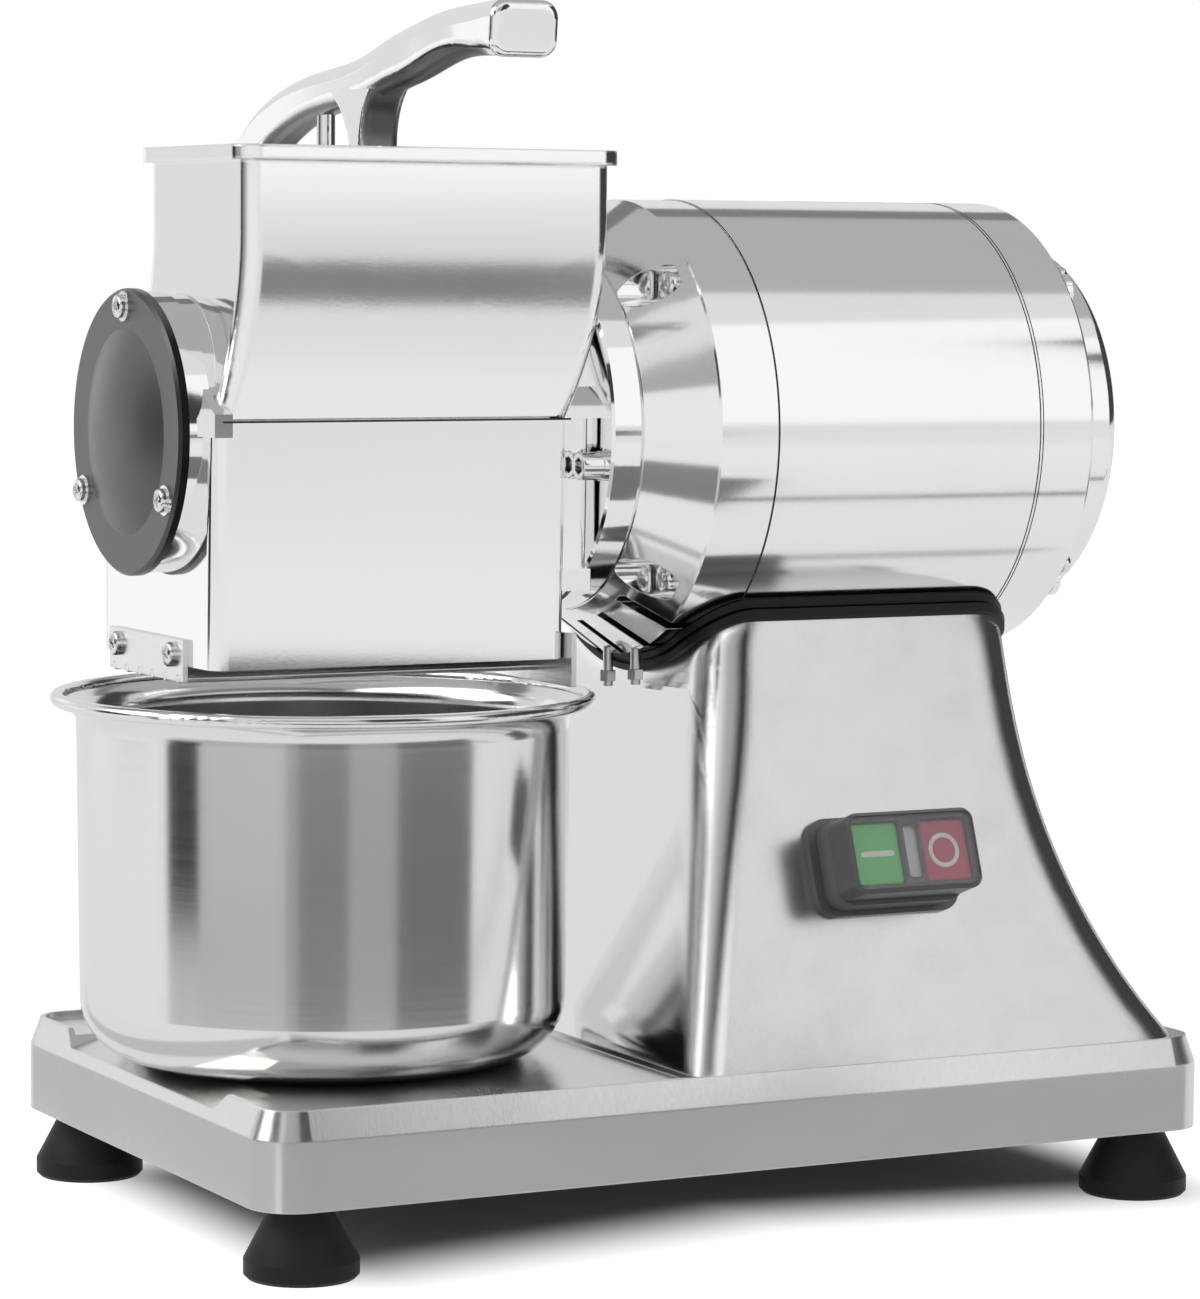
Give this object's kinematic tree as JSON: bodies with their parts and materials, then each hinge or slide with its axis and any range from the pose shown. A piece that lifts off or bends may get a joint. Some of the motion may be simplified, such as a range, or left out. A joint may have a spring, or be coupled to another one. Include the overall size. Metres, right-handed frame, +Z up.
{
  "type": "electric grater",
  "caption": "Counter-top electric hard-cheese grater: leaning pedestal with a lying motor, feed hopper over a toothed drum, press lever, push-button switch and bowl.",
  "frame": {"origin": "on the floor, midway between the four feet, under the middle of the base", "axes": "+X along the shaft from the head to the motor, -Y towards the operator, +Z up"},
  "size_m": [0.4263, 0.2719, 0.4533],
  "materials": {
    "polished_aluminium": "polished casting",
    "motor_skin": "polished tube",
    "stainless": "fine brushed",
    "plated_steel": "bright plated",
    "black_rubber": "matt",
    "grey_plastic": "fine satin",
    "start_green": "satin",
    "stop_red": "satin",
    "lens_grey": "frosted",
    "clear_cover": "milky clear",
    "core_steel": "laminated",
    "copper": "varnished wire",
    "white_plastic": "plain"
  },
  "bodies": {
    "frame": {"base_casting": "polished_aluminium", "pedestal": "polished_aluminium", "bottom_cover": "stainless", "rubber_feet": "black_rubber", "foot_screws": "plated_steel", "run_capacitor": "white_plastic", "terminal_block": "white_plastic", "cable_gland": "grey_plastic", "motor_gasket": "black_rubber", "motor_mount_bolts": "plated_steel", "motor_front_bell": "polished_aluminium", "bell_studs": "plated_steel", "bell_screws": "plated_steel", "motor_tube": "motor_skin", "motor_rear_cap": "polished_aluminium", "rear_end_cover": "polished_aluminium", "end_cover_screws": "plated_steel", "stator_core": "core_steel", "stator_windings": "copper", "front_bearing": "plated_steel", "rear_bearing": "plated_steel", "shaft_seal": "black_rubber", "head_casting": "polished_aluminium", "discharge_chute": "polished_aluminium", "feed_hopper": "polished_aluminium", "head_screws": "plated_steel", "head_spring_washers": "plated_steel", "end_cap": "grey_plastic", "end_cap_screws": "plated_steel", "end_cap_washers": "plated_steel", "guard_left_plate": "stainless", "guard_right_plate": "stainless", "guard_rods": "stainless", "guard_screws": "plated_steel", "hinge_pin": "plated_steel", "hinge_rings": "plated_steel", "switch_plate": "grey_plastic", "switch_boot": "black_rubber", "switch_bezel": "grey_plastic", "switch_window": "clear_cover", "pilot_lens": "lens_grey", "contact_block": "grey_plastic"},
    "rotor": {"motor_shaft": "plated_steel", "rotor_core": "core_steel", "cooling_fan": "grey_plastic", "grating_drum": "stainless", "drum_key": "plated_steel", "drum_end_plate": "stainless", "drum_nut": "plated_steel"},
    "lever": {"press_lever": "polished_aluminium", "lever_stop_pin": "plated_steel", "presser_plate": "polished_aluminium", "presser_screw": "plated_steel"},
    "start": {"start_button": "start_green"},
    "stop": {"stop_button": "stop_red"},
    "bowl": {"bowl": "stainless"}
  },
  "joints": [
    {"name": "drum_spin", "type": "hinge", "parent": "frame", "child": "rotor", "pos_m": [-0.121, 0, 0.2976], "axis": [1, 0, 0], "continuous": true},
    {"name": "lever_lift", "type": "hinge", "parent": "frame", "child": "lever", "pos_m": [-0.107, 0.098, 0.397], "axis": [-1, 0, 0], "range_deg": [0, 80]},
    {"name": "start_press", "type": "slide", "parent": "frame", "child": "start", "axis": [0, 0.9412, -0.3378], "range_m": [0, 0.003], "stiffness_N_per_m": 800},
    {"name": "stop_press", "type": "slide", "parent": "frame", "child": "stop", "axis": [0, 0.9412, -0.3378], "range_m": [0, 0.003], "stiffness_N_per_m": 800},
    {"name": "bowl_slide", "type": "slide", "parent": "frame", "child": "bowl", "axis": [-1, 0, 0], "range_m": [0, 0.25]}
  ]
}
